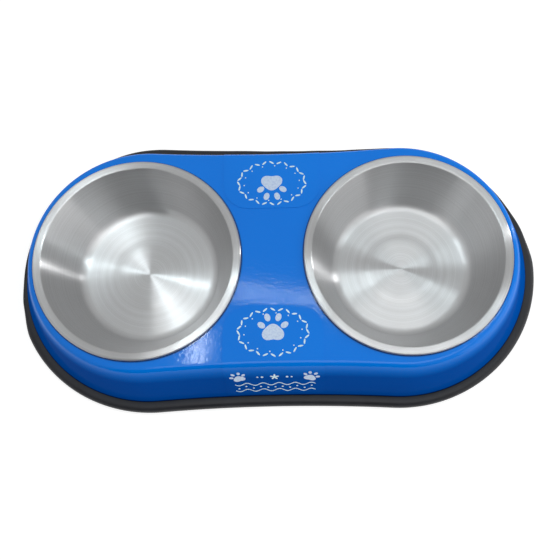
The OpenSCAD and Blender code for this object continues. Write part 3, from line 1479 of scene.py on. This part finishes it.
@dataclass
class Studio:
    """Pale floor, soft lights, a grey surround and the camera at the photograph's angle."""

    picture: int = 560
    focal_px: float = 597.6
    middle_px: Point = (304.04, 337.6)
    camera_place: Triple = (0.02667, -0.15548, 0.48107)
    camera_turn: Triple = (11.7613, 0.6991, -1.0802)
    sensor: float = 36.0
    near: float = 10 * MM
    floor_half: float = 3.0
    floor_squares: int = 8
    floor_drop: float = 0.1 * MM
    floor_roughness: float = 0.9
    floor_patch_scale: float = 3.0
    floor_tones: tuple[Triple, Triple] = ((0.5, 0.5, 0.5), (0.54, 0.54, 0.54))
    floor_glow: float = 0.68
    shade_x: float = 104 * MM
    shade_r: Point = (92 * MM, 104 * MM)
    horizon: Triple = (0.05, 0.05, 0.055)
    sky_from: Point = (0.15, 0.72)
    sky_shares: Triple = (0.42, 0.15, 0.55)
    dark_heading: float = -100.0
    dark_sides: Point = (0.86, 0.92)
    dark_top: Point = (0.78, 0.9)
    dark: Triple = (0.02, 0.02, 0.022)
    backdrop: Triple = (0.8, 0.81, 0.82)
    strengths: Point = (0.55, 1.0)
    cool: Triple = (0.86, 0.97, 1.0)

    def lights(self) -> list[SoftLight]:
        """Lists the lights: two tubes and a soft box above, and two at the right.

        Returns:
            The lights.
        """
        return [
            SoftLight(
                "tube_light", (0.28, 0.193, 1.045), (0.0, 0.0, -9.8), (1.36, 0.014), 1.4, self.cool
            ),
            SoftLight(
                "short_tube", (-0.246, 0.118, 1.045), (0.0, 0.0, -6.0), (0.018, 0.12), 0.36, self.cool
            ),
            SoftLight("soft_box", (0.14, -0.25, 1.045), (0.0, 0.0, 0.0), (0.96, 0.5), 2.4),
            SoftLight("side_light", (0.9, -0.34, 0.30), (0.0, 80.0, -20.0), (0.5, 0.8), 1.5),
            SoftLight("window_slit", (1.0, 0.45, 0.32), (0.0, 84.0, 24.0), (0.5, 0.03), 1.6),
        ]

    def build_camera(self) -> None:
        """Adds the camera, with the shift that the photograph's framing needs."""
        data = bpy.data.cameras.new("camera")
        data.sensor_width = self.sensor
        data.lens = self.focal_px / self.picture * self.sensor
        half = self.picture / 2
        data.shift_x = -(self.middle_px[0] - half) / self.picture
        data.shift_y = (self.middle_px[1] - half) / self.picture
        data.clip_start = self.near
        camera = bpy.data.objects.new("camera", data)
        place_object(camera, self.camera_place, self.camera_turn)
        bpy.context.scene.camera = camera

    def build_floor(self) -> None:
        """Adds the pale floor, with a faint glow as painted light; the glow is left out under the stand,
        which paints the shade there.
        """
        bm = bmesh.new()
        count = self.floor_squares
        bmesh.ops.create_grid(bm, x_segments=count, y_segments=count, size=self.floor_half)
        bmesh.ops.translate(bm, verts=bm.verts, vec=(0.0, 0.0, -self.floor_drop))
        material, nodes, shader = new_material(
            "studio_floor", Roughness=self.floor_roughness, Emission_Strength=self.floor_glow
        )
        place = nodes.place()
        patches = nodes.noise(place, self.floor_patch_scale)
        nodes.join(nodes.ramp(patches, *self.floor_tones), shader.inputs["Base Color"])
        parts = nodes.parts(place)
        # Glow kept off within the stand's footprint: painted shade on the floor under the stand.
        beside = nodes.math("SUBTRACT", nodes.math("ABSOLUTE", parts["X"]), self.shade_x)
        away = nodes.length(nodes.flat(nodes.math("MAXIMUM", beside), parts["Y"]))
        nodes.join(nodes.spread(away, self.shade_r), shader.inputs["Emission Color"])
        as_object(bm, "studio_floor", material)

    def dark_side(self, nodes: Nodes, parts: bpy.types.NodeOutputs) -> Socket:
        """Gives 1 in the surround's dark part in front and 0 away from it.

        Args:
            nodes: Nodes of the world.
            parts: The direction's parts.

        Returns:
            The dark part's share, with soft edges.
        """
        heading = nodes.add("VectorMath", operation="NORMALIZE")
        nodes.join(nodes.flat(parts["X"], parts["Y"]), heading.inputs[0])
        along = nodes.add("VectorMath", operation="DOT_PRODUCT")
        nodes.join(heading.outputs["Vector"], along.inputs[0])
        turn = math.radians(self.dark_heading)
        along.inputs[1].default_value = (math.cos(turn), math.sin(turn), 0.0)
        wedge = nodes.spread(along.outputs["Value"], self.dark_sides)
        return nodes.math("MULTIPLY", wedge, nodes.below(parts["Z"], self.dark_top))

    def build_surround(self) -> None:
        """Gives the world a white sky, a grey horizon and a dark part in front.

        The steel mirrors them. Seen past the object, the world is a plain pale backdrop.
        """
        world = bpy.data.worlds.new("surround")
        world.use_nodes = True
        nodes = Nodes(world.node_tree)
        parts = nodes.parts(nodes.add("TexCoord").outputs["Generated"])
        wide = nodes.math("MULTIPLY", nodes.math("ABSOLUTE", parts["X"]), self.sky_shares[0])
        deep = nodes.math("MULTIPLY", nodes.math("ADD", parts["Y"], 1.0), self.sky_shares[1])
        tall = nodes.math("MULTIPLY", parts["Z"], self.sky_shares[2])
        light = nodes.math("ADD", nodes.math("ADD", tall, wide), deep)
        colour = nodes.ramp(light, self.horizon, WHITE, self.sky_from)
        colour = nodes.blend(self.dark_side(nodes, parts), colour, self.dark)
        seen = nodes.add("LightPath").outputs["Is Camera Ray"]
        back = world.node_tree.nodes["Background"]
        nodes.join(nodes.blend(seen, colour, self.backdrop), back.inputs["Color"])
        nodes.join(nodes.spread(seen, new=self.strengths), back.inputs["Strength"])
        bpy.context.scene.world = world

    def build(self) -> None:
        """Builds the whole studio."""
        self.build_camera()
        self.build_floor()
        self.build_surround()
        for light in self.lights():
            light.build()
        bpy.context.scene.view_settings.view_transform = "Standard"


def main() -> None:
    """Builds the studio, then the stand's pieces, then the bowls."""
    logging.basicConfig(level=logging.INFO, format="%(message)s")
    Studio().build()
    OrangePeel().build()
    LatheLines().build()
    shell_low, shell_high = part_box("stand_shell")
    ring_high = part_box("non_slip_ring")[1]
    plan = StandPlan()
    side = SkirtSide(deck_h=shell_high[2], foot_h=shell_low[2])
    bowls = {s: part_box(f"{s.word}_bowl") for s in (Side.LEFT, Side.RIGHT)}
    middles = {s: (low[0] + high[0]) / 2 for s, (low, high) in bowls.items()}
    StandShell(plan, side, bowl_x=middles[Side.RIGHT]).build()
    FootRing(plan, side, height=ring_high[2]).build()
    film = ClearFilm().build()
    white = PrintInk("white_ink", (0.52, 0.75, 0.86), (0.74, 0.93, 0.97)).build()
    lilac = PrintInk("lilac_ink", (0.46, 0.58, 0.82), (0.6, 0.72, 0.9)).build()
    for place in (Side.FRONT, Side.REAR):
        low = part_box(f"{place.word}_transfer")[0][2]
        transfer = Transfer(plan, side, place, low)
        transfer.build_film(film)
        transfer.build_print(white, lilac)
    for which, (_, high) in bowls.items():
        Bowl(which, middles[which], rim_z=high[2]).build()


if __name__ == "__main__":
    main()
